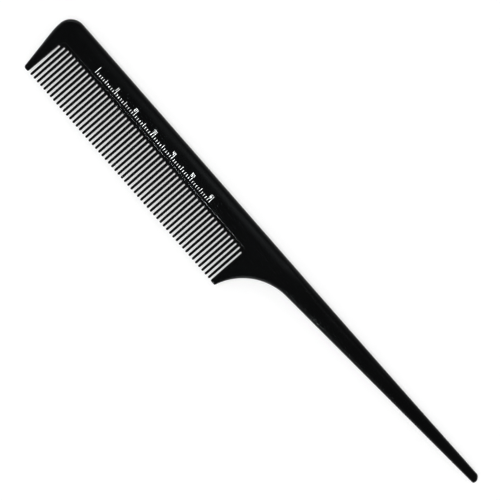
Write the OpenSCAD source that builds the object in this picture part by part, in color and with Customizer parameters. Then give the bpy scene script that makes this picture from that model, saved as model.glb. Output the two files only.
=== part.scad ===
// Rat tail comb: one rigid plastic moulding, divided here into its named regions, and the thin
// foil scale stamped on its upper face.
// The comb lies flat. +X runs from the front end to the tip of the tail, +Y from the tooth tips
// to the back edge, and +Z is up. The origin is on the plane that the comb rests on, at the
// middle of its length and width.

/* [Overall] */
// Length from the front end to the tip of the tail
comb_length = 216; // [200:1:240]
// Width from the back edge to the tips of the teeth
comb_width = 25.2; // [24:0.1:27]
// Thickness of the flat band along the spine, the thickest place
comb_thickness = 4; // [3.4:0.1:5]
// Radius of the front corner of the back edge, seen from above
corner_radius = 5.65; // [3:0.05:7]

/* [Spine] */
// Distance from the back edge at which the rounded back ends and the flat band starts
crown_depth = 4.6; // [3.8:0.1:4.8]
// Radius of the gentle curve between the flat band and the rounded back edge
crown_radius = 15; // [12:0.5:25]
// Distance from the back edge to the step down to the thinner band at the tooth roots
step_depth = 8.7; // [8.4:0.1:9.3]
// Height of that step on each face
step_height = 0.25; // [0.1:0.05:0.4]

/* [Fine teeth] */
// Number of fine teeth
tooth_count = 56; // [40:1:58]
// Distance from one fine tooth to the next
tooth_pitch = 1.712; // [1.4:0.001:1.75]
// Distance from the front end to the middle of the first gap
first_gap_x = 5.93; // [5.5:0.01:7]
// Distance from the back edge to the roots of the gaps
root_depth = 9.87; // [9.5:0.01:11]
// Width of a gap at its root
gap_root_width = 0.63; // [0.4:0.01:0.7]
// Width of a tooth at its tip
tooth_tip_width = 0.85; // [0.5:0.01:0.9]
// Thickness of a tooth at its tip
tooth_tip_thickness = 1.1; // [0.9:0.05:1.5]

/* [Guard teeth] */
// Lean of the outer edge of the front guard tooth, in degrees
front_lean = 10.5; // [6:0.5:11]
// Width of the front guard tooth at its tip
front_tip_width = 2.05; // [1.7:0.05:2.2]
// Radius of the hollow outer edge of the rear guard tooth
heel_radius = 21.5; // [20.5:0.1:22]
// Thickness of both guard teeth at their tips
guard_tip_thickness = 1.6; // [1.2:0.1:2]
// Distance from the back edge over which the guard teeth keep their full thickness
guard_full_depth = 14; // [12:0.5:18]

/* [Neck and tail] */
// Length of the neck, from the inner edge of the rear guard tooth to the tail
neck_length = 21.6; // [21.4:0.1:24]
// Width of the tail where it leaves the neck
tail_root_width = 8.9; // [8:0.05:9.4]
// Width of the tail just before its rounded tip
tail_tip_width = 3.33; // [2.4:0.01:4]
// Thickness of the tail just before its rounded tip
tail_tip_thickness = 2.2; // [1.6:0.1:3]
// Rise of the back edge at the tip above the straight line of the spine
tail_rise = 0.45; // [0:0.05:1]
// Length of the rounded tip
tail_nose = 3; // [1.5:0.1:4]

/* [Stamped scale] */
// Length of the scale in centimetres
scale_cm = 6; // [3:1:7]
// Distance from the front end to the first mark
scale_x = 21.2; // [15:0.1:22]
// Distance from the back edge to the foot of the marks
scale_foot = 7.8; // [7.6:0.1:8.2]
// Height of a centimetre mark
mark_height = 2.8; // [2:0.1:2.8]
// Width of a stroke
stroke_width = 0.24; // [0.15:0.01:0.3]
// Thickness of the foil
foil_thickness = 0.03; // [0.02:0.01:0.05]

/* [Hidden] */
$fn = 48;
PLASTIC = [0.055, 0.055, 0.06];
FOIL = [0.86, 0.86, 0.83];

half_thickness = comb_thickness / 2;
// Half the thickness of the thinner band just below the step
band_half = half_thickness - step_height;
// The teeth meet the spine along this line, through the middles of the round gap roots.
root_line = root_depth + gap_root_width / 2;
last_gap_x = first_gap_x + tooth_count * tooth_pitch;
front_guard_x = first_gap_x - gap_root_width / 2;
heel_x = last_gap_x + gap_root_width / 2;

// The front edge bends from square to its lean between the rounded corner and the root line.
bend_radius = (root_line - corner_radius) / sin(front_lean);
front_root_x = bend_radius * (1 - cos(front_lean));

// The tail's lower edge is straight, and the hollow edge of the heel is an arc tangent to it.
neck_end_x = heel_x + neck_length;
nose_x = comb_length - tail_nose;
tail_slope = atan((tail_root_width - tail_tip_width + tail_rise) / (nose_x - neck_end_x));
heel_centre = [neck_end_x + heel_radius * sin(tail_slope),
               -tail_root_width - heel_radius * cos(tail_slope)];

// The round back edge is tangent to the crown curve, and that curve to the flat band.
back_radius = (2 * half_thickness * crown_radius - crown_depth ^ 2 - half_thickness ^ 2)
              / (2 * (crown_radius - crown_depth));
crown_angle = atan2(crown_radius - half_thickness, crown_depth - back_radius);

// The shape of the tail's section: nearly a rounded rectangle at the neck, an oval further on
TAIL_ROOT_POWER = 4.5;
TAIL_POWER = 2.4;
TAIL_SIDES = 24;
GUARD_OUTER_ROUND = 1;
GUARD_INNER_ROUND = 0.5;
HEEL_ROUND = 0.35;

function unit(v) = v / norm(v);

function arc(centre, r, from, to, steps, skip = 0) =
    [for (i = [skip:steps])
        let(a = from + (to - from) * i / steps) centre + r * [cos(a), sin(a)]];

// The corner at b, between a and c, rounded to the radius r
function rounded(a, b, c, r, steps = 5) =
    let(u = unit(a - b), v = unit(c - b), half = acos(u * v) / 2,
        centre = b + unit(u + v) * r / sin(half),
        start = b + u * r / tan(half) - centre, end = b + v * r / tan(half) - centre,
        from = atan2(start.y, start.x), turn = atan2(end.y, end.x) - from,
        sweep = turn > 180 ? turn - 360 : turn < -180 ? turn + 360 : turn)
    arc(centre, r, from, from + sweep, steps);

// The angle on the hollow arc of the heel at a distance from the back edge
function heel_angle(depth) = 180 - asin((-depth - heel_centre.y) / heel_radius);

// Half the thickness of the toothed blade at a distance from the back edge
function blade_half(depth) =
    band_half + (tooth_tip_thickness / 2 - band_half)
    * (depth - step_depth) / (comb_width - step_depth);

// Moves the comb from the working frame, whose origin is at the front end of the back edge
// and half way through the thickness.
module placed() {
    translate([-comb_length / 2, (comb_width - tail_rise) / 2, half_thickness]) children();
}

// Extrudes a section, drawn as (Y, Z), along X.
module along_x(from, to) {
    translate([from, 0, 0]) rotate([90, 0, 90]) linear_extrude(to - from) children();
}

// An outline seen from above, cut through more than the full thickness
module slab() {
    linear_extrude(comb_thickness + 2, center = true) children();
}

// The spine seen from above, with the round root of each gap along its lower edge
module spine_outline() {
    corner = [corner_radius, -corner_radius];
    bend = [bend_radius, -corner_radius];
    roots = [for (i = [0:tooth_count])
        each arc([first_gap_x + i * tooth_pitch, -root_line], gap_root_width / 2, 180, 0, 6)];
    polygon(concat(arc(corner, corner_radius, 90, 180, 10),
                   arc(bend, bend_radius, 180, 180 + front_lean, 5, skip = 1), roots,
                   [[heel_x, 0]]));
}

// The body's section: a rounded back edge, a gentle crown and a flat band on each face
module body_section() {
    crown = [-crown_depth, half_thickness - crown_radius];
    flat_end = -root_line - 1;
    polygon(concat(arc([crown.x, -crown.y], crown_radius, -90, -crown_angle, 4),
                   arc([-back_radius, 0], back_radius, -crown_angle, crown_angle, 12, skip = 1),
                   arc(crown, crown_radius, crown_angle, 90, 4, skip = 1),
                   [[flat_end, half_thickness], [flat_end, -half_thickness]]));
}

// What the step takes off the upper face, from the step to below the tooth roots
module step_section() {
    outside = half_thickness + 1;
    end = root_line + 1;
    polygon([[-step_depth, outside], [-end, outside], [-end, blade_half(end)],
             [-step_depth, band_half]]);
}

module spine() {
    color(PLASTIC) placed() difference() {
        intersection() {
            slab() spine_outline();
            along_x(-1, heel_x) body_section();
        }
        for (side = [0, 1])
            mirror([0, 0, side]) along_x(first_gap_x, last_gap_x) step_section();
    }
}

// The side view of a tooth that keeps one thickness to a depth, then tapers to a round tip
module tooth_section(full_depth, full_half, tip_half, steps) {
    polygon(concat([[-root_line, full_half], [-full_depth, full_half]],
                   arc([tip_half - comb_width, 0], tip_half, 90, 270, steps),
                   [[-full_depth, -full_half], [-root_line, -full_half]]));
}

module front_guard_tooth() {
    root_outer = [front_root_x, -root_line];
    root_inner = [front_guard_x, -root_line];
    outer = [front_root_x + (comb_width - root_line) * tan(front_lean), -comb_width];
    inner = outer + [front_tip_width, 0];
    color(PLASTIC) placed() intersection() {
        slab() polygon(concat([root_outer],
                              rounded(root_outer, outer, inner, GUARD_OUTER_ROUND),
                              rounded(outer, inner, root_inner, GUARD_INNER_ROUND),
                              [root_inner]));
        along_x(-1, heel_x)
            tooth_section(guard_full_depth, half_thickness, guard_tip_thickness / 2, 6);
    }
}

module fine_tooth_outline() {
    root = (tooth_pitch - gap_root_width) / 2;
    tip = tooth_tip_width / 2;
    polygon(concat([[-root, -root_line]], arc([0, tip - comb_width], tip, 180, 360, 4),
                   [[root, -root_line]]));
}

module fine_teeth() {
    color(PLASTIC) placed() intersection() {
        slab() for (i = [0:tooth_count - 1])
            translate([first_gap_x + (i + 0.5) * tooth_pitch, 0]) fine_tooth_outline();
        along_x(first_gap_x, last_gap_x)
            tooth_section(root_line + 0.5, blade_half(root_line), tooth_tip_thickness / 2, 4);
    }
}

module rear_guard_tooth() {
    tip_angle = heel_angle(comb_width);
    root_angle = heel_angle(root_line);
    outer_edge = arc(heel_centre, heel_radius, root_angle, tip_angle, 10);
    inner = [heel_x, -comb_width];
    color(PLASTIC) placed() intersection() {
        slab() polygon(concat([[heel_x, -root_line]],
                              rounded([heel_x, -root_line], inner, outer_edge[10], HEEL_ROUND),
                              rounded(inner, outer_edge[10], outer_edge[9], HEEL_ROUND),
                              [for (i = [9:-1:0]) outer_edge[i]]));
        along_x(heel_x, neck_end_x)
            tooth_section(guard_full_depth, half_thickness, guard_tip_thickness / 2, 6);
    }
}

module neck() {
    lower_edge = arc(heel_centre, heel_radius, heel_angle(root_line), 90 + tail_slope, 5);
    color(PLASTIC) placed() intersection() {
        slab() polygon(concat([[heel_x, -root_line]], lower_edge,
                              [[neck_end_x, 0], [heel_x, 0]]));
        along_x(heel_x, neck_end_x) body_section();
    }
}

// One ring of points around the tail, at a distance x from the front end
function tail_ring(x) =
    let(run = min(1, (x - neck_end_x) / (nose_x - neck_end_x)),
        past_nose = max(0, (x - nose_x) / tail_nose),
        shrink = sqrt(1 - 0.98 * past_nose ^ 2),
        top = tail_rise * run ^ 2,
        width = top + tail_root_width - (x - neck_end_x) * tan(tail_slope),
        half_height = half_thickness + (tail_tip_thickness / 2 - half_thickness) * run,
        power = TAIL_POWER + (TAIL_ROOT_POWER - TAIL_POWER) * (1 - run) ^ 6)
    [for (i = [0:TAIL_SIDES - 1])
        let(a = 360 * i / TAIL_SIDES, c = cos(a), s = sin(a))
        [x, top - width / 2 + shrink * width / 2 * sign(c) * abs(c) ^ (2 / power),
         shrink * half_height * sign(s) * abs(s) ^ (2 / power)]];

module tail() {
    straight = [for (i = [0:8]) neck_end_x + (nose_x - neck_end_x) * (i / 8) ^ 1.3];
    nose = [for (a = [25, 45, 65, 90]) nose_x + tail_nose * sin(a)];
    rings = concat(straight, nose);
    n = TAIL_SIDES;
    last = (len(rings) - 1) * n;
    sides = [for (r = [0:len(rings) - 2], i = [0:n - 1])
        let(a = r * n + i, b = r * n + (i + 1) % n) each [[a, b, b + n], [a, b + n, a + n]]];
    color(PLASTIC) placed()
        polyhedron([for (x = rings) each tail_ring(x)],
                   concat(sides, [[for (i = [n - 1:-1:0]) i]], [[for (i = [0:n - 1]) last + i]]));
}

// The seven bars of a plain numeral, in the order top, upper right, lower right, bottom,
// lower left, upper left, middle; each list names the bars that a numeral from 1 to 7 uses.
NUMERAL_BARS = [[1, 2], [0, 1, 6, 4, 3], [0, 1, 6, 2, 3], [5, 6, 1, 2], [0, 5, 6, 2, 3],
                [0, 5, 4, 3, 2, 6], [0, 1, 2]];
NUMERAL_WIDTH = 0.85;
NUMERAL_GAP = 0.3;

module numeral(value, height) {
    reach = height / 2;
    side = NUMERAL_WIDTH - stroke_width;
    flat = [NUMERAL_WIDTH, stroke_width];
    upright = [stroke_width, reach];
    places = [[0, height - stroke_width], [side, reach], [side, 0], [0, 0], [0, 0], [0, reach],
              [0, reach - stroke_width / 2]];
    for (bar = NUMERAL_BARS[value - 1])
        translate(places[bar]) square(bar % 3 == 0 ? flat : upright);
}

module stamped_scale() {
    short = 0.36 * mark_height;
    middle = 0.6 * mark_height;
    numeral_height = mark_height - middle + 0.25;
    color(FOIL) placed() translate([scale_x, -scale_foot, half_thickness])
        linear_extrude(foil_thickness) {
            for (mm = [0:10 * scale_cm])
                translate([mm - stroke_width / 2, 0])
                    square([stroke_width,
                            mm % 10 == 0 ? mark_height : mm % 5 == 0 ? middle : short]);
            for (cm = [1:scale_cm])
                translate([10 * cm - stroke_width / 2 - NUMERAL_GAP - NUMERAL_WIDTH,
                           mark_height - numeral_height])
                    numeral(cm, numeral_height);
        }
}

spine();
front_guard_tooth();
fine_teeth();
rear_guard_tooth();
neck();
tail();
stamped_scale();
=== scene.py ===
"""The looks of a rat tail comb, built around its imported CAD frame.

The comb is one plastic moulding. Its skin is made here as one continuous surface: the outline seen from
above, a rounded edge all the way round it, and a height over the plan for the crown, the step and the
tapering teeth. The skin is then cut where the CAD nodes meet, so each region is a closed piece of its
own, and the surface normals of the whole keep the cuts invisible.

Shapes are worked out in millimetres in a working frame: x from the front end, y from the back edge and
negative towards the tooth tips, z from the middle of the thickness.
"""

import math

import bmesh
import bpy
import numpy as np
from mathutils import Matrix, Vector
from mathutils.geometry import delaunay_2d_cdt


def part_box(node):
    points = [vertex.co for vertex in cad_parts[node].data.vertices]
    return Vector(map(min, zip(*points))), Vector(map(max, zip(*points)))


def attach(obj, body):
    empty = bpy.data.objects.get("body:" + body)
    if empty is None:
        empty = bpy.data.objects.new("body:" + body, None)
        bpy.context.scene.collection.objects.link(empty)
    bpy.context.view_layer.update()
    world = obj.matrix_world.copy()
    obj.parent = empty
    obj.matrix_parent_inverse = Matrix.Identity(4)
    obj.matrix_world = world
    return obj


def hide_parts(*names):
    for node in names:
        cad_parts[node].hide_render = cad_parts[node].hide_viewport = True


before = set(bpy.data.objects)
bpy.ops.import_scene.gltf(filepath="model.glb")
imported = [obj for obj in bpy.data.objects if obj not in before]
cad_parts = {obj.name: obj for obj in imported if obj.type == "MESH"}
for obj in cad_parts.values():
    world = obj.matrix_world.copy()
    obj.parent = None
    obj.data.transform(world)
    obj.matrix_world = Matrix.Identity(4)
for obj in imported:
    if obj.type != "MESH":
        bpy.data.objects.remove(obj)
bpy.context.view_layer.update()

# ---------------------------------------------------------------- sizes from the frame, in millimetres

MM = 0.001


def frame_box(node):
    """The lowest and highest corners of a CAD node in the frame, in millimetres."""
    lo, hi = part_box(node)
    return np.array(lo) / MM, np.array(hi) / MM


spine_frame_lo, spine_frame_hi = frame_box("spine")
middle_of_thickness = (spine_frame_lo[2] + spine_frame_hi[2]) / 2
# The place in the frame where the working frame has its origin
ORIGIN = np.array([spine_frame_lo[0], spine_frame_hi[1], middle_of_thickness])


def local_box(node):
    """The same corners in the working frame."""
    lo, hi = frame_box(node)
    return lo - ORIGIN, hi - ORIGIN


spine_lo, spine_hi = local_box("spine")
teeth_lo, teeth_hi = local_box("fine_teeth")
tail_lo, tail_hi = local_box("tail")
scale_lo, scale_hi = local_box("stamped_scale")

TOOTH_COUNT = 56
HALF_THICKNESS = spine_hi[2]
HEEL_X = spine_hi[0]
ROOT_LINE = -spine_lo[1]
COMB_WIDTH = -teeth_lo[1]
GAP_WIDTH = HEEL_X - teeth_hi[0]
FIRST_GAP_X = teeth_lo[0] - GAP_WIDTH / 2
LAST_GAP_X = HEEL_X - GAP_WIDTH / 2
PITCH = (LAST_GAP_X - FIRST_GAP_X) / TOOTH_COUNT
NECK_END_X = local_box("neck")[1][0]
COMB_LENGTH = tail_hi[0]
TAIL_ROOT_WIDTH = -tail_lo[1]
TAIL_RISE = tail_hi[1]

# ---------------------------------------------------------------- design of the moulding, in millimetres

CORNER_RADIUS = 5.65
CROWN_DEPTH = 4.6
CROWN_RADIUS = 15.0
# The crown fades out between the heel and the tail, both ends of the fade lying this far past them
CROWN_FADE_OFFSET = 8
STEP_DEPTH = 8.7
STEP_HEIGHT = 0.25
STEP_HALF_WIDTH = 0.16
STEP_CORNER = 1.1

TOOTH_TIP_HALF_WIDTH = 0.425
TOOTH_TIP_HALF_THICKNESS = 0.55
# How much deeper than the others the roots of the first, second and last gaps are
ROOT_DROPS = {0: 1.1, 1: 0.25, TOOTH_COUNT: 0.75}

FRONT_LEAN = math.radians(10.5)
FRONT_TIP_WIDTH = 2.05
FRONT_OUTER_ROUND = 1.0
FRONT_INNER_ROUND = 0.5
HEEL_RADIUS = 21.5
HEEL_INNER_ROUND = 0.45
HEEL_OUTER_ROUND = 0.4
GUARD_FULL_DEPTH = 14.0
GUARD_TIP_HALF_THICKNESS = 0.8
GUARD_THINNING_POWER = 1.15

TAIL_NOSE = 3.0
TAIL_TIP_WIDTH = 3.33
TAIL_TIP_HALF_THICKNESS = 1.1
# The nose's upper corner is cut off at 45 degrees, by this much each way, and both ends of the cut are round
NOSE_CUT = 1.3
NOSE_UPPER_ROUND = 1.5
NOSE_LOWER_ROUND = 0.85
# How much of its thickness the nose loses towards its very end
NOSE_THINNING = 0.25

# The mould's two halves meet in a fine ridge along the middle of the edge, and the walls draw in from it.
RIDGE = 0.03
RIDGE_HALF_HEIGHT = 0.05
RIDGE_CREST_HALF_HEIGHT = 0.015
DRAFT = math.tan(math.radians(2.5))

# The plan size of the rounded edge, and its height as a share of the half thickness, at each place
BACK_EDGE = (1.3, 0.88)
FRONT_LOW_EDGE = (0.8, 0.8)
FRONT_TIP_EDGE = (0.5, 0.8)
FRONT_INNER_EDGE = (0.42, 0.8)
TOOTH_ROOT_EDGE = (0.34, 0.4)
TOOTH_TIP_EDGE = (0.34, 0.8)
HEEL_TIP_EDGE = (0.35, 0.75)
HEEL_EDGE = (1.2, 0.72)
TAIL_EDGE_SHARE = 0.86
TAIL_EDGE_RATIO = 0.92
NOSE_EDGE = (0.72, 0.88)
# The rounding grows from the heel's tip over this share of the heel's hollow edge
HEEL_EDGE_GROWTH = 0.35
# It turns into the tail's from this far before the neck's end to this far past it
NECK_BLEND = (12, 18)
# It turns into the nose's between these distances from the end of the comb
NOSE_BLEND = (12, 2.6)
# The round root of a gap ends this many degrees short of a half circle, at each of its walls
ROOT_ARC_END = 10

# ---------------------------------------------------------------- how finely the shapes are divided

# Points nearer to each other than this are one, in the outline and the cuts, and in a triangulated plan
SAME_PLACE = 1e-4
SAME_PLAN_PLACE = 1e-6

# The outline: millimetres between places on a straight run, and places along an edge of the tail
RUN_STEP = 1.5
FRONT_RUN_STEP = 1.2
TAIL_PLACES = 42

# The outline: degrees between places round each kind of arc
FRONT_CORNER_TURN = 5
FRONT_BEND_TURN = 2
FRONT_TIP_TURN = 12
SMALL_CORNER_TURN = 15
ROOT_TURN = 16
TOOTH_TIP_TURN = 20
HEEL_TURN = 2.2
NOSE_LOWER_TURN = 10
NOSE_UPPER_TURN = 9

# The rounded edge: places from the border of the face to the mould ridge
ROUND_STEPS = 9

# The step: where rows of points run along it, in half widths of the step, and how far their ends run down
STEP_ROWS = (-1.25, -0.75, -0.4, 0, 0.4, 0.75, 1.25)
STEP_ROW_END = 0.2
STEP_CORNER_PLACES = 9

# The faces: the depths of the rows of points over the crown, the flat band and the recess
FACE_ROWS = (1.85, 2.25, 2.7, 3.2, 3.7, 4.2, 4.7, 5.5, 6.4, 7.3, 8.0, 9.15)
# Further rows on the guard teeth, down to their tips
GUARD_ROWS_START = 9.9
GUARD_ROW_STEP = 0.9
# Past the neck's end by this much, the tail's face is narrow enough to need no points between its edges
FACE_ROWS_PAST_NECK = 20
BORDER_CLEARANCE = 0.33
STEP_CLEARANCE = 2.6 * STEP_HALF_WIDTH

# ---------------------------------------------------------------- places worked out from the sizes

bend_radius = (ROOT_LINE - CORNER_RADIUS) / math.sin(FRONT_LEAN)
front_root_x = bend_radius * (1 - math.cos(FRONT_LEAN))
front_guard_x = FIRST_GAP_X - GAP_WIDTH / 2
front_tip_x = front_root_x + (COMB_WIDTH - ROOT_LINE) * math.tan(FRONT_LEAN)
front_inner_tip_x = front_tip_x + FRONT_TIP_WIDTH
nose_x = COMB_LENGTH - TAIL_NOSE
nose_top_x = COMB_LENGTH - NOSE_CUT - NOSE_UPPER_ROUND * math.tan(math.radians(45 / 2))
tail_slope = math.atan((TAIL_ROOT_WIDTH - TAIL_TIP_WIDTH + TAIL_RISE) / (nose_x - NECK_END_X))
heel_centre = np.array([NECK_END_X + HEEL_RADIUS * math.sin(tail_slope),
                        -TAIL_ROOT_WIDTH - HEEL_RADIUS * math.cos(tail_slope)])
tooth_root_half_width = (PITCH - GAP_WIDTH) / 2
band_half = HALF_THICKNESS - STEP_HEIGHT


def smoothstep(low, high, v):
    t = np.clip((v - low) / (high - low), 0, 1)
    return t * t * (3 - 2 * t)


def mix(a, b, t):
    return a + (b - a) * t


# ---------------------------------------------------------------- the outline seen from above


def tail_top(x):
    """The back edge of the tail, which rises a little towards the tip."""
    return TAIL_RISE * np.clip((x - NECK_END_X) / (nose_x - NECK_END_X), 0, 1) ** 2


def tail_bottom(x):
    return -TAIL_ROOT_WIDTH + (x - NECK_END_X) * math.tan(tail_slope)


def tail_edge(body_edge, x):
    """The edge rounding from the body, through the neck, to the tail's oval section and its nose."""
    half_width = (tail_top(x) - tail_bottom(x)) / 2
    to_tail = smoothstep(NECK_END_X - NECK_BLEND[0], NECK_END_X + NECK_BLEND[1], x)
    to_nose = smoothstep(COMB_LENGTH - NOSE_BLEND[0], COMB_LENGTH - NOSE_BLEND[1], x)
    size = mix(mix(body_edge[0], TAIL_EDGE_SHARE * half_width, to_tail), NOSE_EDGE[0], to_nose)
    ratio = mix(mix(body_edge[1], TAIL_EDGE_RATIO, to_tail), NOSE_EDGE[1], to_nose)
    return size, ratio


class Outline:
    """A closed outline walked anticlockwise: places, outward normals and the edge rounding there."""

    def __init__(self):
        self.rows = []

    def add(self, place, normal, edge):
        if not self.rows or math.dist(self.rows[-1][:2], place) > SAME_PLACE:
            self.rows.append((*place, *normal, *edge))

    def line_to(self, end, spacing, edge_at):
        """A straight run from the last place; edge_at gives the rounding at a share of the way."""
        start = np.array(self.rows[-1][:2])
        along = np.array(end) - start
        length = np.linalg.norm(along)
        normal = np.array([along[1], -along[0]]) / length
        steps = max(1, round(length / spacing))
        for i in range(1, steps + 1):
            self.add(start + along * i / steps, normal, edge_at(i / steps))

    def arc(self, centre, radius, start, end, step, edge_at, hollow=False):
        """An arc from one angle to another, in degrees; a hollow one bends into the material."""
        steps = max(1, round(abs(end - start) / step))
        for i in range(steps + 1):
            a = math.radians(mix(start, end, i / steps))
            out = np.array([math.cos(a), math.sin(a)])
            self.add(np.array(centre) + radius * out, -out if hollow else out, edge_at(i / steps))

    def corner(self, place, before, after, radius, step, edge_at):
        """A convex corner between two directions of travel, rounded to a radius."""
        before, after = np.array(before, float), np.array(after, float)
        before, after = before / np.linalg.norm(before), after / np.linalg.norm(after)
        turn = math.acos(np.clip(before @ after, -1, 1))
        left = np.array([-before[1], before[0]])
        centre = np.array(place) - before * radius * math.tan(turn / 2) + left * radius
        start = math.degrees(math.atan2(-left[1], -left[0]))
        self.arc(centre, radius, start, start + math.degrees(turn), step, edge_at)


def between(a, b):
    """A function that blends from one edge rounding to another."""
    return lambda t: (mix(a[0], b[0], t), mix(a[1], b[1], t))


def tooth_half_width(depth):
    share = (depth - ROOT_LINE) / (COMB_WIDTH - TOOTH_TIP_HALF_WIDTH - ROOT_LINE)
    return mix(tooth_root_half_width, TOOTH_TIP_HALF_WIDTH, np.clip(share, 0, 1))


def tooth_x(i):
    return FIRST_GAP_X + (i + 0.5) * PITCH


def gap_root(i):
    """The centre and radius of the round root of gap i, between its two walls at that depth."""
    depth = ROOT_LINE + ROOT_DROPS.get(i, 0)
    half = tooth_half_width(depth)
    share = (depth - ROOT_LINE) / (COMB_WIDTH - ROOT_LINE)
    left = tooth_x(i - 1) + half if i > 0 else mix(front_guard_x, front_inner_tip_x, share)
    right = tooth_x(i) - half if i < TOOTH_COUNT else HEEL_X
    return np.array([(left + right) / 2, -depth]), (right - left) / 2


def add_back_and_front(outline):
    """The back edge from the nose to the front corner, then the front edge and its guard tooth."""
    for x in np.linspace(nose_top_x, NECK_END_X, TAIL_PLACES):
        slope = 2 * TAIL_RISE * (x - NECK_END_X) / (nose_x - NECK_END_X) ** 2 if x < nose_x else 0
        normal = np.array([-slope, 1]) / math.hypot(slope, 1)
        outline.add((x, tail_top(x)), normal, tail_edge(BACK_EDGE, x))
    before_corner = CORNER_RADIUS + PITCH / 8
    for x in np.arange(NECK_END_X - PITCH / 2, before_corner, -PITCH / 2):
        outline.add((x, 0), (0, 1), tail_edge(BACK_EDGE, x))
    keep = between(BACK_EDGE, BACK_EDGE)
    outline.arc((CORNER_RADIUS, -CORNER_RADIUS), CORNER_RADIUS, 90, 180, FRONT_CORNER_TURN, keep)
    lean = math.degrees(FRONT_LEAN)
    outline.arc((bend_radius, -CORNER_RADIUS), bend_radius, 180, 180 + lean, FRONT_BEND_TURN, keep)
    down = (math.sin(FRONT_LEAN), -math.cos(FRONT_LEAN))
    outer = np.array([front_tip_x, -COMB_WIDTH])
    inner = np.array([front_inner_tip_x, -COMB_WIDTH])
    start = outer - np.array(down) * FRONT_OUTER_ROUND
    outline.line_to(start, FRONT_RUN_STEP, between(BACK_EDGE, FRONT_LOW_EDGE))
    round_tip = between(FRONT_LOW_EDGE, FRONT_TIP_EDGE)
    outline.corner(outer, down, (1, 0), FRONT_OUTER_ROUND, FRONT_TIP_TURN, round_tip)
    up = np.array([front_guard_x, -ROOT_LINE]) - inner
    round_inner = between(FRONT_INNER_EDGE, TOOTH_TIP_EDGE)
    outline.corner(inner, (1, 0), up, FRONT_INNER_ROUND, SMALL_CORNER_TURN, round_inner)


def add_teeth(outline):
    """Every gap's root and every fine tooth, from the front guard to the heel."""
    at_root = between(TOOTH_ROOT_EDGE, TOOTH_ROOT_EDGE)
    at_tip = between(TOOTH_TIP_EDGE, TOOTH_TIP_EDGE)
    tip_to_root = between(TOOTH_TIP_EDGE, TOOTH_ROOT_EDGE)
    root_to_tip = between(TOOTH_ROOT_EDGE, TOOTH_TIP_EDGE)
    end = math.radians(ROOT_ARC_END)
    for i in range(TOOTH_COUNT + 1):
        centre, radius = gap_root(i)
        wall_top = centre + radius * np.array([-math.cos(end), math.sin(end)])
        outline.line_to(wall_top, RUN_STEP, tip_to_root)
        outline.arc(centre, radius, 180 - ROOT_ARC_END, ROOT_ARC_END, ROOT_TURN, at_root, hollow=True)
        if i < TOOTH_COUNT:
            tip = np.array([tooth_x(i), TOOTH_TIP_HALF_WIDTH - COMB_WIDTH])
            outline.line_to(tip - np.array([TOOTH_TIP_HALF_WIDTH, 0]), RUN_STEP, root_to_tip)
            outline.arc(tip, TOOTH_TIP_HALF_WIDTH, 180, 360, TOOTH_TIP_TURN, at_tip)


def add_heel(outline):
    """The rear guard tooth and its hollow outer edge, as far as the tail."""
    inner = np.array([HEEL_X, -COMB_WIDTH])
    wall_end = inner + np.array([0, HEEL_INNER_ROUND])
    outline.line_to(wall_end, RUN_STEP, between(TOOTH_ROOT_EDGE, HEEL_TIP_EDGE))
    at_tip = between(HEEL_TIP_EDGE, HEEL_TIP_EDGE)
    outline.corner(inner, (0, -1), (1, 0), HEEL_INNER_ROUND, SMALL_CORNER_TURN, at_tip)
    tip_angle = 180 - math.degrees(math.asin((-COMB_WIDTH - heel_centre[1]) / HEEL_RADIUS))
    a = math.radians(tip_angle)
    outer = heel_centre + HEEL_RADIUS * np.array([math.cos(a), math.sin(a)])
    away = (math.sin(a), -math.cos(a))
    outline.corner(outer, (1, 0), away, HEEL_OUTER_ROUND, SMALL_CORNER_TURN, at_tip)
    start_angle = tip_angle - math.degrees(HEEL_OUTER_ROUND / HEEL_RADIUS)
    end_angle = 90 + math.degrees(tail_slope)
    grown = between(HEEL_TIP_EDGE, HEEL_EDGE)

    def edge_at(t):
        angle = math.radians(mix(start_angle, end_angle, t))
        x = heel_centre[0] + HEEL_RADIUS * math.cos(angle)
        return tail_edge(grown(smoothstep(0, HEEL_EDGE_GROWTH, t)), x)

    outline.arc(heel_centre, HEEL_RADIUS, start_angle, end_angle, HEEL_TURN, edge_at, hollow=True)


def add_tail(outline):
    """The tail's lower edge and its blunt nose."""
    lower_normal = (math.sin(tail_slope), -math.cos(tail_slope))
    for x in np.linspace(NECK_END_X, COMB_LENGTH - NOSE_CUT, TAIL_PLACES)[1:]:
        outline.add((x, tail_bottom(x)), lower_normal, tail_edge(HEEL_EDGE, x))
    nose = between(NOSE_EDGE, NOSE_EDGE)
    along = (math.cos(tail_slope), math.sin(tail_slope))
    lower_corner = (COMB_LENGTH, tail_bottom(COMB_LENGTH))
    cut_start = (COMB_LENGTH, TAIL_RISE - NOSE_CUT)
    cut_end = (COMB_LENGTH - NOSE_CUT, TAIL_RISE)
    outline.corner(lower_corner, along, (0, 1), NOSE_LOWER_ROUND, NOSE_LOWER_TURN, nose)
    outline.corner(cut_start, (0, 1), (-1, 1), NOSE_UPPER_ROUND, NOSE_UPPER_TURN, nose)
    outline.corner(cut_end, (-1, 1), (-1, 0), NOSE_UPPER_ROUND, NOSE_UPPER_TURN, nose)


def comb_outline():
    """The whole outline: its places, outward normals, and the size and ratio of the edge rounding."""
    outline = Outline()
    add_back_and_front(outline)
    add_teeth(outline)
    add_heel(outline)
    add_tail(outline)
    rows = np.array(outline.rows)
    if np.linalg.norm(rows[0, :2] - rows[-1, :2]) < SAME_PLACE:
        rows = rows[:-1]
    return rows[:, :2], rows[:, 2:4], rows[:, 4], rows[:, 5]


# ---------------------------------------------------------------- the height over the plan


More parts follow.
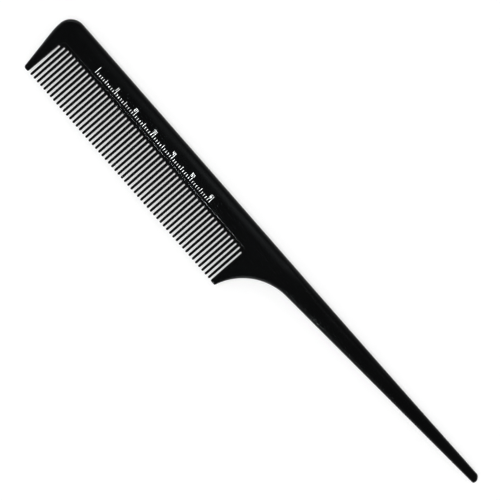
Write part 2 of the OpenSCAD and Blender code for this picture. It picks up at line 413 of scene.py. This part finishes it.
def front_edge_x(y):
    """Where the front edge lies at a place along the comb's width, below its round corner."""
    below = np.clip(-y - CORNER_RADIUS, 0, ROOT_LINE - CORNER_RADIUS)
    bend = bend_radius - np.sqrt(bend_radius**2 - below**2)
    return bend + np.maximum(-y - ROOT_LINE, 0) * math.tan(FRONT_LEAN)


def inside_recess(x, y):
    """How far a place lies inside the recessed band that the fine teeth grow from."""
    left, right = FIRST_GAP_X + STEP_CORNER, LAST_GAP_X - STEP_CORNER
    across = np.maximum(np.maximum(left - x, x - right), 0)
    above = np.maximum(STEP_DEPTH + STEP_CORNER + y, 0)
    return STEP_CORNER - np.hypot(across, above)


def height(x, y):
    """Half the thickness of the moulding at a place, before its edges are rounded."""
    depth = -y
    corner = CORNER_RADIUS - np.hypot(x - CORNER_RADIUS, y + CORNER_RADIUS)
    in_corner = (x < CORNER_RADIUS) & (y > -CORNER_RADIUS)
    from_edge = np.where(in_corner, corner, np.minimum(depth, x - front_edge_x(y)))
    fall = np.clip(CROWN_DEPTH - from_edge, 0, CROWN_RADIUS)
    crown = CROWN_RADIUS - np.sqrt(CROWN_RADIUS**2 - fall**2)
    crown = crown * (1 - smoothstep(HEEL_X + CROWN_FADE_OFFSET, NECK_END_X + CROWN_FADE_OFFSET, x))

    along_tail = np.clip((x - NECK_END_X) / (nose_x - NECK_END_X), 0, 1)
    tail = mix(HALF_THICKNESS, TAIL_TIP_HALF_THICKNESS, along_tail)
    tail = tail * (1 - NOSE_THINNING * np.clip((x - nose_x) / TAIL_NOSE, 0, 1) ** 2)

    down_guard = np.clip((depth - GUARD_FULL_DEPTH) / (COMB_WIDTH - GUARD_FULL_DEPTH), 0, 1)
    guard = mix(1, GUARD_TIP_HALF_THICKNESS / HALF_THICKNESS, down_guard**GUARD_THINNING_POWER)

    blade_share = (depth - STEP_DEPTH) / (COMB_WIDTH - STEP_DEPTH)
    blade = mix(band_half, TOOTH_TIP_HALF_THICKNESS, blade_share)
    recess = smoothstep(-STEP_HALF_WIDTH, STEP_HALF_WIDTH, inside_recess(x, y))
    return mix((tail - crown) * guard, blade, recess)


def height_normals(x, y):
    """Normals of the upper face at places on it, from the slopes over a short reach each way."""
    reach = 0.01
    slope_x = (height(x + reach, y) - height(x - reach, y)) / (2 * reach)
    slope_y = (height(x, y + reach) - height(x, y - reach)) / (2 * reach)
    normals = np.stack([-slope_x, -slope_y, np.ones_like(slope_x)], axis=1)
    return normals / np.linalg.norm(normals, axis=1, keepdims=True)


# ---------------------------------------------------------------- the skin: rounded edges and faces


def edge_rings(place, normal, size, ratio):
    """Rings of points from the inner border of the upper face, round the edge, to the lower face's.

    Returns an array (ring, point, xyz).
    """
    outer = place - normal * RIDGE
    rise = ratio * height(*outer.T)
    wall = height(*outer.T) - rise
    draft = np.maximum(wall - RIDGE_HALF_HEIGHT, 0) * DRAFT
    upper = []
    for angle in np.linspace(0, math.pi / 2, ROUND_STEPS):
        at = place - normal * (RIDGE + draft + size * (1 - math.sin(angle)))[:, None]
        z = height(*at.T) - rise * (1 - math.cos(angle))
        upper.append(np.column_stack([at, z]))
    for inset, z in ((RIDGE, RIDGE_HALF_HEIGHT), (0, RIDGE_CREST_HALF_HEIGHT)):
        at = place - normal * inset
        upper.append(np.column_stack([at, np.full(len(at), z)]))
    upper = np.array(upper)
    return np.concatenate([upper, upper[::-1] * [1, 1, -1]])


def inside_polygon(points, polygon):
    """Which points lie inside a closed polygon: those with an odd number of its sides to their right."""
    hit = np.zeros(len(points), bool)
    x, y = points.T
    for (x1, y1), (x2, y2) in zip(polygon, np.roll(polygon, -1, axis=0)):
        if y1 != y2:
            crosses = (y1 > y) != (y2 > y)
            hit ^= crosses & (x < (x2 - x1) * (y - y1) / (y2 - y1) + x1)
    return hit


def distance_to_points(points, others):
    """How far each point is from the nearest of the others, worked out a batch at a time."""
    best = np.full(len(points), np.inf)
    batch = 256
    for start in range(0, len(others), batch):
        part = others[start:start + batch]
        d = np.linalg.norm(points[:, None] - part[None], axis=2).min(axis=1)
        best = np.minimum(best, d)
    return best


def step_rows():
    """Rows of points that run along the step, close together where it falls."""
    left = np.array([FIRST_GAP_X + STEP_CORNER, -STEP_DEPTH - STEP_CORNER])
    right = np.array([LAST_GAP_X - STEP_CORNER, -STEP_DEPTH - STEP_CORNER])
    turn = np.radians(np.linspace(0, 90, STEP_CORNER_PLACES))
    columns = np.arange(left[0] + PITCH / 4, right[0] - PITCH / 8, PITCH / 4)
    end = np.array([0, STEP_ROW_END])
    rows = []
    for inward in np.array(STEP_ROWS) * STEP_HALF_WIDTH:
        radius = STEP_CORNER - inward
        front = [left + radius * np.array([-math.cos(a), math.sin(a)]) for a in turn]
        level = [np.array([x, -STEP_DEPTH - inward]) for x in columns]
        heel = [right + radius * np.array([math.sin(a), math.cos(a)]) for a in turn]
        rows.append(np.array([front[0] - end, *front, *level, *heel, heel[-1] - end]))
    return rows


def face_points(border):
    """Points spread over a face inside its border: rows along the comb, closer where it curves."""
    depths = np.array([*FACE_ROWS, *np.arange(GUARD_ROWS_START, COMB_WIDTH, GUARD_ROW_STEP)])
    columns = np.arange(PITCH / 4, NECK_END_X + FACE_ROWS_PAST_NECK, PITCH / 2)
    x, depth = (a.ravel() for a in np.meshgrid(columns, depths))
    points = np.column_stack([x, -depth])
    points = points[inside_polygon(points, border)]
    points = points[distance_to_points(points, border) > BORDER_CLEARANCE]
    near_step = np.abs(inside_recess(*points.T)) < STEP_CLEARANCE
    return points[~near_step]


def face_triangles(border):
    """Triangulates a face. Returns its points, the border's first, and triangles, anticlockwise."""
    points = [tuple(p) for p in border]
    edges = [(i, (i + 1) % len(border)) for i in range(len(border))]
    for row in step_rows():
        start = len(points)
        points += [tuple(p) for p in row]
        edges += [(start + i, start + i + 1) for i in range(len(row) - 1)]
    points += [tuple(p) for p in face_points(border)]
    plan = [Vector(p) for p in points]
    made, _, faces, origins, _, _ = delaunay_2d_cdt(plan, edges, [], 1, SAME_PLAN_PLACE)
    if len(made) != len(points):
        raise RuntimeError(f"the face's points meet: {len(points)} became {len(made)}")
    back = np.array([o[0] for o in origins])
    return np.array(points), back[np.array([f for f in faces if len(f) == 3])]


def comb_skin():
    """The whole moulding: its points, their smooth normals and shares of wear, and its faces."""
    place, normal, size, ratio = comb_outline()
    rings = edge_rings(place, normal, size, ratio)
    count, n = rings.shape[:2]
    across = np.gradient(rings, axis=0)
    along = np.roll(rings, -1, axis=1) - np.roll(rings, 1, axis=1)
    ring_normals = np.cross(across, along)
    ring_normals /= np.linalg.norm(ring_normals, axis=2, keepdims=True)
    border_normals = height_normals(*rings[0, :, :2].T)
    ring_normals[0] = border_normals
    ring_normals[-1] = border_normals * [1, 1, -1]

    plan, triangles = face_triangles(rings[0, :, :2])
    inner = plan[n:]
    z = height(*inner.T)
    upper = np.column_stack([inner, z])
    inner_normals = height_normals(*inner.T)
    points = np.concatenate([rings.reshape(-1, 3), upper, upper * [1, 1, -1]])
    normals = np.concatenate([ring_normals.reshape(-1, 3), inner_normals, inner_normals * [1, 1, -1]])

    ring_ids = np.arange(count * n).reshape(count, n)
    following = np.roll(ring_ids, -1, axis=1)
    quads = np.stack([ring_ids[:-1], ring_ids[1:], following[1:], following[:-1]], axis=-1).reshape(-1, 4)
    upper_ids = np.concatenate([ring_ids[0], count * n + np.arange(len(inner))])
    lower_ids = np.concatenate([ring_ids[-1], count * n + len(inner) + np.arange(len(inner))])
    faces = [*quads.tolist(), *upper_ids[triangles].tolist(), *lower_ids[triangles[:, ::-1]].tolist()]

    # No wear on the faces, and the most round the outside of the edge
    ring_wear = np.sqrt(np.sin(np.linspace(0, math.pi, count)))
    worn = np.concatenate([np.repeat(ring_wear, n), np.zeros(2 * len(inner))])
    return points, normals, worn, faces


# ---------------------------------------------------------------- cutting the skin into its regions


def skin_bmesh():
    """The skin as one mesh, with its smooth normals and its edges' share of wear as attributes."""
    points, normals, worn, faces = comb_skin()
    mesh = bpy.data.meshes.new("skin")
    mesh.from_pydata(points.tolist(), [], faces)
    smooth_normal = mesh.attributes.new("smooth_normal", "FLOAT_VECTOR", "POINT")
    smooth_normal.data.foreach_set("vector", normals.ravel())
    worn_edge = mesh.attributes.new("worn_edge", "FLOAT", "POINT")
    worn_edge.data.foreach_set("value", worn)
    bm = bmesh.new()
    bm.from_mesh(mesh)
    bpy.data.meshes.remove(mesh)
    return bm


def cut(source, axis, at, keep_above):
    """A copy of a skin, cut by the plane where one coordinate has a value, open at the cut."""
    bm = source.copy()
    place = Vector((0, 0, 0))
    place[axis] = at
    normal = Vector((0, 0, 0))
    normal[axis] = 1
    geometry = [*bm.verts, *bm.edges, *bm.faces]
    bmesh.ops.bisect_plane(bm, geom=geometry, dist=SAME_PLACE, plane_co=place, plane_no=normal,
                           clear_outer=not keep_above, clear_inner=keep_above)
    return bm


def close(bm):
    """Fills each open cut with a flat face, marked as one."""
    mark = bm.faces.layers.int.new("cut_face")
    rims = [e for e in bm.edges if e.is_boundary]
    made = bmesh.ops.holes_fill(bm, edges=rims, sides=0)["faces"]
    for f in bmesh.ops.triangulate(bm, faces=made)["faces"]:
        f[mark] = 1
    bmesh.ops.recalc_face_normals(bm, faces=bm.faces)
    return bm


def loose_groups(bm):
    """Lists of the vertices of each connected part."""
    reached = set()
    groups = []
    for first in bm.verts:
        group = []
        waiting = [first]
        while waiting:
            v = waiting.pop()
            if v not in reached:
                reached.add(v)
                group.append(v)
                waiting += [e.other_vert(v) for e in v.link_edges]
        if group:
            groups.append(group)
    return groups


def keep_between(bm, low, high):
    """Deletes every connected part whose middle isn't between two values of x."""
    for group in loose_groups(bm):
        middle = sum(v.co.x for v in group) / len(group)
        if not low < middle < high:
            bmesh.ops.delete(bm, geom=group, context="VERTS")
    return bm


def piece_in_frame(bm, name):
    """Turns a mesh in the working frame into an object in metres, in the CAD's frame."""
    for v in bm.verts:
        v.co = Vector((np.array(v.co) + ORIGIN) * MM)
    mesh = bpy.data.meshes.new(name)
    bm.to_mesh(mesh)
    bm.free()
    piece = bpy.data.objects.new(name, mesh)
    bpy.context.scene.collection.objects.link(piece)
    return piece


def moulded_piece(bm, name):
    """Turns a region into a piece that keeps the whole skin's normals, except on its flat cuts."""
    piece = piece_in_frame(bm, name)
    mesh = piece.data
    vectors = np.empty(3 * len(mesh.vertices))
    mesh.attributes["smooth_normal"].data.foreach_get("vector", vectors)
    vectors = vectors.reshape(-1, 3)
    vectors /= np.linalg.norm(vectors, axis=1, keepdims=True)
    corner_vertex = np.empty(len(mesh.loops), int)
    mesh.loops.foreach_get("vertex_index", corner_vertex)
    normals = vectors[corner_vertex]
    flat = np.empty(len(mesh.polygons), int)
    mesh.attributes["cut_face"].data.foreach_get("value", flat)
    for p in (mesh.polygons[i] for i in np.flatnonzero(flat)):
        normals[p.loop_start:p.loop_start + p.loop_total] = p.normal
    for attribute in ("smooth_normal", "cut_face"):
        mesh.attributes.remove(mesh.attributes[attribute])
    mesh.shade_smooth()
    mesh.normals_split_custom_set(normals.tolist())
    return piece


def moulded_pieces():
    """Each region of the moulding, by the CAD node that it stands for."""
    skin = skin_bmesh()
    along_x, along_y = 0, 1
    # These cuts lie just past the CAD's borders, so that no wall and no outline point lies in one
    spine_end = HEEL_X + 0.5
    tail_start = NECK_END_X + 0.1
    upper = cut(skin, along_y, -ROOT_LINE, keep_above=True)
    body = cut(upper, along_x, spine_end, keep_above=True)
    regions = {
        "spine": cut(upper, along_x, spine_end, keep_above=False),
        "neck": cut(body, along_x, tail_start, keep_above=False),
        "tail": cut(body, along_x, tail_start, keep_above=True),
    }
    spans = {
        "front_guard_tooth": (0, FIRST_GAP_X),
        "fine_teeth": (FIRST_GAP_X, HEEL_X),
        "rear_guard_tooth": (HEEL_X, COMB_LENGTH),
    }
    for node, span in spans.items():
        regions[node] = keep_between(cut(skin, along_y, -ROOT_LINE, keep_above=False), *span)
    for bm in (skin, upper, body):
        bm.free()
    return {node: moulded_piece(close(bm), f"moulded_{node}") for node, bm in regions.items()}


pieces = moulded_pieces()
for node, piece in pieces.items():
    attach(piece, "root")
    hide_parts(node)

# ---------------------------------------------------------------- the stamped scale

STROKE = 0.24
BAR_ROUND = 0.06
FILM_SINK = 0.02
# The height of the marks for a centimetre, and the shares of it for half a centimetre and a millimetre
LONG_MARK = scale_hi[1] - scale_lo[1]
HALF_SHARE = 0.6
SHORT_SHARE = 0.36
NUMERAL_WIDTH = 0.85
NUMERAL_HEIGHT = 0.4 * LONG_MARK + 0.25
NUMERAL_GAP = 0.3
# A numeral's bars are numbered clockwise from the top one, 0 to 5, and the middle one is 6
NUMERAL_BARS = {
    1: (1, 2),
    2: (0, 1, 6, 4, 3),
    3: (0, 1, 6, 2, 3),
    4: (5, 6, 1, 2),
    5: (0, 5, 6, 2, 3),
    6: (0, 5, 6, 4, 2, 3),
}


def rounded_bar(low, width, depth):
    """A bar's outline, anticlockwise, from its lower left corner and its size."""
    r = BAR_ROUND
    left, right, bottom, top = low[0] + r, low[0] + width - r, low[1] + r, low[1] + depth - r
    corners = [(left, bottom, 180), (right, bottom, 270), (right, top, 0), (left, top, 90)]
    angles = [(x, y, math.radians(start + turn)) for x, y, start in corners for turn in (0, 45, 90)]
    return [(x + r * math.cos(a), y + r * math.sin(a)) for x, y, a in angles]


def numeral(value, corner):
    """The bars of one numeral, from the place of its lower left corner."""
    reach = NUMERAL_HEIGHT / 2
    side = NUMERAL_WIDTH - STROKE
    top = NUMERAL_HEIGHT - STROKE
    middle = reach - STROKE / 2
    places = [(0, top), (side, reach), (side, 0), (0, 0), (0, 0), (0, reach), (0, middle)]
    bars = []
    for bar in NUMERAL_BARS[value]:
        at = (corner[0] + places[bar][0], corner[1] + places[bar][1])
        level = bar in (0, 3, 6)
        bars.append(rounded_bar(at, NUMERAL_WIDTH if level else STROKE, STROKE if level else reach))
    return bars


def add_mark(bm, bars):
    """Joins a mark's bars into one outline and gives it the thickness of the foil."""
    points = [Vector(p) for bar in bars for p in bar]
    loops = [list(range(i, i + len(bars[0]))) for i in range(0, len(points), len(bars[0]))]
    plan, _, triangles, *_ = delaunay_2d_cdt(points, [], loops, 1, SAME_PLAN_PLACE)
    levels = (HALF_THICKNESS - FILM_SINK, scale_hi[2])
    low, high = ([bm.verts.new((*p, z)) for p in plan] for z in levels)
    for a, b, c in triangles:
        bm.faces.new((high[a], high[b], high[c]))
        bm.faces.new((low[c], low[b], low[a]))
    sides = {(t[i], t[(i + 1) % 3]) for t in triangles for i in range(3)}
    for a, b in sorted(sides):
        if (b, a) not in sides:
            bm.faces.new((low[a], low[b], high[b], high[a]))


def mark_height(number):
    """How tall the mark is that stands a number of millimetres from the first one."""
    if number % 10 == 0:
        return LONG_MARK
    return LONG_MARK * (HALF_SHARE if number % 5 == 0 else SHORT_SHARE)


def stamped_scale():
    """A plain ruled scale in centimetres: a mark for each millimetre, and a numeral by each tenth one."""
    left, foot = scale_lo[:2]
    length = round(scale_hi[0] - left - STROKE)
    bm = bmesh.new()
    for number in range(length + 1):
        add_mark(bm, [rounded_bar((left + number, foot), STROKE, mark_height(number))])
    for cm in range(1, length // 10 + 1):
        x = left + 10 * cm - NUMERAL_GAP - NUMERAL_WIDTH
        add_mark(bm, numeral(cm, (x, foot + LONG_MARK - NUMERAL_HEIGHT)))
    return piece_in_frame(bm, "foil_scale")


foil = stamped_scale()
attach(foil, "root")
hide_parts("stamped_scale")

# ---------------------------------------------------------------- materials


def add_node(tree, kind, inputs=None, **settings):
    """Adds a node. Its inputs are set to values or linked to other nodes' sockets."""
    made = tree.nodes.new(kind)
    for key, value in settings.items():
        setattr(made, key, value)
    for key, value in (inputs or {}).items():
        if isinstance(value, bpy.types.NodeSocket):
            tree.links.new(value, made.inputs[key])
        else:
            made.inputs[key].default_value = value
    return made


def new_material(name):
    """A material, its node tree and its main shader."""
    material = bpy.data.materials.new(name)
    material.use_nodes = True
    tree = material.node_tree
    return material, tree, tree.nodes["Principled BSDF"]


def noise(tree, stretch, detail=3, roughness=0.5):
    """Noise over the surface's own place. stretch is the size of its grain along x, y and z, in mm."""
    place = add_node(tree, "ShaderNodeTexCoord").outputs["Object"]
    scaled = add_node(tree, "ShaderNodeMapping", {"Vector": place, "Scale": [1 / (MM * s) for s in stretch]})
    inputs = {"Vector": scaled.outputs[0], "Scale": 1, "Detail": detail, "Roughness": roughness}
    return add_node(tree, "ShaderNodeTexNoise", inputs).outputs["Fac"]


def ramp(tree, value, low, high, to_low=0, to_high=1):
    """Maps a value from one range onto another, held at the ends."""
    inputs = {"Value": value, "From Min": low, "From Max": high, "To Min": to_low, "To Max": to_high}
    return add_node(tree, "ShaderNodeMapRange", inputs).outputs["Result"]


def combine(tree, operation, a, b):
    return add_node(tree, "ShaderNodeMath", {0: a, 1: b}, operation=operation).outputs[0]


def blend(tree, share, a, b):
    """A colour between two, by a share from 0 to 1."""
    made = add_node(tree, "ShaderNodeMix", {"Factor": share}, data_type="RGBA")
    for socket, colour in ((made.inputs[6], a), (made.inputs[7], b)):
        if isinstance(colour, bpy.types.NodeSocket):
            tree.links.new(colour, socket)
        else:
            socket.default_value = (*colour, 1)
    return made.outputs[2]


def black_plastic():
    """Black moulded plastic, buffed along its length, a little scuffed on its edges."""
    material, tree, shader = new_material("black_plastic")
    buffing = noise(tree, (9, 0.22, 0.22), detail=4, roughness=0.6)
    handling = noise(tree, (17, 8, 8))
    grain = noise(tree, (0.16, 0.16, 0.16), detail=2)
    scratches = ramp(tree, noise(tree, (3.2, 0.07, 0.07), detail=1), 0.71, 0.76)
    edges = add_node(tree, "ShaderNodeAttribute", attribute_name="worn_edge").outputs["Fac"]
    scuffs = ramp(tree, noise(tree, (1.4, 0.6, 0.6), detail=5, roughness=0.7), 0.5, 0.68)
    wear = combine(tree, "MULTIPLY", edges, scuffs)

    clean, handled = (0.0085, 0.0095, 0.0105), (0.0125, 0.0135, 0.0145)
    scuffed, scratched = (0.030, 0.031, 0.033), (0.035, 0.036, 0.038)
    colour = blend(tree, ramp(tree, handling, 0.3, 0.7), clean, handled)
    colour = blend(tree, combine(tree, "MULTIPLY", wear, 0.6), colour, scuffed)
    colour = blend(tree, combine(tree, "MULTIPLY", scratches, 0.4), colour, scratched)
    tree.links.new(colour, shader.inputs["Base Color"])

    roughness = ramp(tree, handling, 0.3, 0.7, to_low=0.19, to_high=0.25)
    along_lines = ramp(tree, buffing, 0.3, 0.7, to_low=-0.03, to_high=0.04)
    roughness = combine(tree, "ADD", roughness, along_lines)
    roughness = combine(tree, "ADD", roughness, combine(tree, "MULTIPLY", wear, 0.12))
    roughness = combine(tree, "ADD", roughness, combine(tree, "MULTIPLY", scratches, 0.15))
    tree.links.new(roughness, shader.inputs["Roughness"])

    relief = combine(tree, "MULTIPLY", buffing, 0.6)
    relief = combine(tree, "ADD", relief, combine(tree, "MULTIPLY", grain, 0.4))
    relief = combine(tree, "SUBTRACT", relief, combine(tree, "MULTIPLY", scratches, 0.5))
    bump_inputs = {"Height": relief, "Strength": 0.25, "Distance": 0.004 * MM}
    bump = add_node(tree, "ShaderNodeBump", bump_inputs)
    tree.links.new(bump.outputs[0], shader.inputs["Normal"])
    shader.inputs["IOR"].default_value = 1.5
    return material


def stamped_foil():
    """Silver-white stamping foil, thin in places so that the black shows through."""
    material, tree, shader = new_material("foil")
    flecks = ramp(tree, noise(tree, (0.16, 0.16, 0.16), detail=4, roughness=0.65), 0.57, 0.66)
    fading = ramp(tree, noise(tree, (6, 2, 2), detail=2), 0.35, 0.7)
    rubbed = combine(tree, "MULTIPLY", flecks, ramp(tree, fading, 0, 1, to_low=0.35))

    fresh, faded, bare = (0.86, 0.87, 0.86), (0.70, 0.71, 0.71), (0.05, 0.05, 0.055)
    colour = blend(tree, rubbed, blend(tree, fading, fresh, faded), bare)
    tree.links.new(colour, shader.inputs["Base Color"])
    roughness = ramp(tree, fading, 0, 1, to_low=0.34, to_high=0.5)
    tree.links.new(roughness, shader.inputs["Roughness"])

    bump_inputs = {"Height": flecks, "Strength": 0.4, "Distance": 0.006 * MM}
    bump = add_node(tree, "ShaderNodeBump", bump_inputs, invert=True)
    tree.links.new(bump.outputs[0], shader.inputs["Normal"])
    shader.inputs["Metallic"].default_value = 0.1
    return material


plastic = black_plastic()
for piece in pieces.values():
    piece.data.materials.append(plastic)
foil.data.materials.append(stamped_foil())

# ---------------------------------------------------------------- stage, light and camera

# The turn of the camera, the width of its view and the place under it, in metres
VIEW_TURN = math.radians(48.87)
VIEW_WIDTH = 0.17455
VIEW_CENTRE = (-0.00475, 0.00456)
# Under 1, it deepens the darks and keeps the paper white
VIEW_GAMMA = 0.7
# The lens and the width of the sensor, in millimetres
LENS = 200
SENSOR = 36
# Half a side of the floor, in metres
FLOOR_HALF_SIDE = 6
COMB_MIDDLE = np.array([COMB_LENGTH / 2, -COMB_WIDTH / 2, 0])
COOL_WHITE = (0.92, 0.985, 1)

# The high light on the white surfaces: the part that they can shade, and the part that passes everything
PAPER_FILL = 2.25
PAPER_SHADE = 0.5
PAPER_LIGHT_WIDTH = math.radians(40)
PAPER_LIGHT_TURN = (math.radians(12), 0, math.radians(-30))

# The tent's brightness above and at its foot, and where one fades into the other, by the sine of the height
TENT_TOP = 0.17
TENT_FOOT = 0.8
TENT_FADE = (0.2, 0.7)
# How far the side boxes stand from the middle of the comb along x, y and z, in millimetres
SIDE_BOX_REACH = (950, 880, 520)


def white_floor():
    """The plain white paper that the comb lies on."""
    mesh = bpy.data.meshes.new("floor")
    r = FLOOR_HALF_SIDE
    mesh.from_pydata([(-r, -r, 0), (r, -r, 0), (r, r, 0), (-r, r, 0)], [], [(0, 1, 2, 3)])
    floor = bpy.data.objects.new("floor", mesh)
    bpy.context.scene.collection.objects.link(floor)
    material, _, shader = new_material("white_paper")
    shader.inputs["Base Color"].default_value = (0.9, 0.9, 0.9, 1)
    shader.inputs["Roughness"].default_value = 0.9
    mesh.materials.append(material)
    return floor


def light_tent():
    """A dim tent all round for the comb to reflect, with a white background behind the floor."""
    world = bpy.data.worlds.new("tent")
    world.use_nodes = True
    tree = world.node_tree
    tree.nodes.clear()
    direction = add_node(tree, "ShaderNodeTexCoord").outputs["Generated"]
    up = add_node(tree, "ShaderNodeSeparateXYZ", {0: direction}).outputs["Z"]
    tent = ramp(tree, up, *TENT_FADE, TENT_FOOT, TENT_TOP)
    seen = add_node(tree, "ShaderNodeLightPath").outputs["Is Camera Ray"]
    strength = add_node(tree, "ShaderNodeMix", {"Factor": seen, 2: tent, 3: 1.0}).outputs[0]
    background = add_node(tree, "ShaderNodeBackground", {"Color": (1, 1, 1, 1), "Strength": strength})
    output = add_node(tree, "ShaderNodeOutputWorld")
    tree.links.new(background.outputs[0], output.inputs[0])
    bpy.context.scene.world = world


def collection_of(name, objects):
    """A collection that a light can be linked to."""
    made = bpy.data.collections.new(name)
    for thing in objects:
        made.objects.link(thing)
    return made


def softbox(name, place, target, size, radiance, lit, spread=180):
    """A soft rectangular light. place and target are in the working frame, size is in millimetres.

    The radiance is the one along its axis. A spread under 180 degrees is a grid that narrows the beam.
    """
    data = bpy.data.lights.new(name, "AREA")
    data.shape = "RECTANGLE"
    data.size = size[0] * MM
    data.size_y = size[1] * MM
    data.spread = math.radians(spread)
    half = data.spread / 2
    beam = 1 - half / math.tan(half) if spread < 180 else 1
    data.energy = radiance * math.pi * data.size * data.size_y * beam
    box = bpy.data.objects.new(name, data)
    box.location = (np.array(place) + ORIGIN) * MM
    aim = Vector(np.array(target) - np.array(place))
    box.rotation_euler = aim.to_track_quat("-Z", "Y").to_euler()
    box.visible_camera = False
    data.color = COOL_WHITE
    bpy.context.scene.collection.objects.link(box)
    box.light_linking.receiver_collection = lit


def paper_light(name, energy, lit, blockers):
    """A high soft light for the white surfaces only, so that the black ones keep their own reflections."""
    data = bpy.data.lights.new(name, "SUN")
    data.energy = energy
    data.angle = PAPER_LIGHT_WIDTH
    light = bpy.data.objects.new(name, data)
    light.rotation_euler = PAPER_LIGHT_TURN
    bpy.context.scene.collection.objects.link(light)
    light.light_linking.receiver_collection = lit
    light.light_linking.blocker_collection = blockers


def photo_camera():
    """Straight down over the comb, turned so that it lies across the picture as photographed."""
    data = bpy.data.cameras.new("camera")
    data.lens = LENS
    data.sensor_width = SENSOR
    camera = bpy.data.objects.new("camera", data)
    camera.location = (*VIEW_CENTRE, VIEW_WIDTH * LENS / SENSOR + HALF_THICKNESS * MM)
    camera.rotation_euler = (0, 0, VIEW_TURN)
    bpy.context.scene.collection.objects.link(camera)
    bpy.context.scene.camera = camera


floor = white_floor()
light_tent()
white_surfaces = collection_of("white_surfaces", [floor, foil])
paper_light("paper_fill", PAPER_FILL, white_surfaces, white_surfaces)
paper_light("paper_shade", PAPER_SHADE, white_surfaces, None)
comb_only = collection_of("comb", [foil, *pieces.values()])
softbox("back_band", place=(96, 360, 1200), target=(91, -3, 2), size=(105, 220), radiance=2.0,
        lit=comb_only)
softbox("back_fill", place=(0, 360, 1200), target=(60, -3, 2), size=(110, 220), radiance=0.5,
        lit=comb_only)
softbox("key", place=(53, -760, 620), target=(67, -9, 2), size=(80, 140), radiance=260,
        lit=comb_only, spread=11)
for x_way in (-1, 1):
    for y_way in (-1, 1):
        side = COMB_MIDDLE + np.array([x_way, y_way, 1]) * SIDE_BOX_REACH
        softbox("side_box", place=side, target=COMB_MIDDLE, size=(900, 420), radiance=1.4,
                lit=comb_only)
photo_camera()
view_settings = bpy.context.scene.view_settings
view_settings.view_transform = "Standard"
view_settings.gamma = VIEW_GAMMA
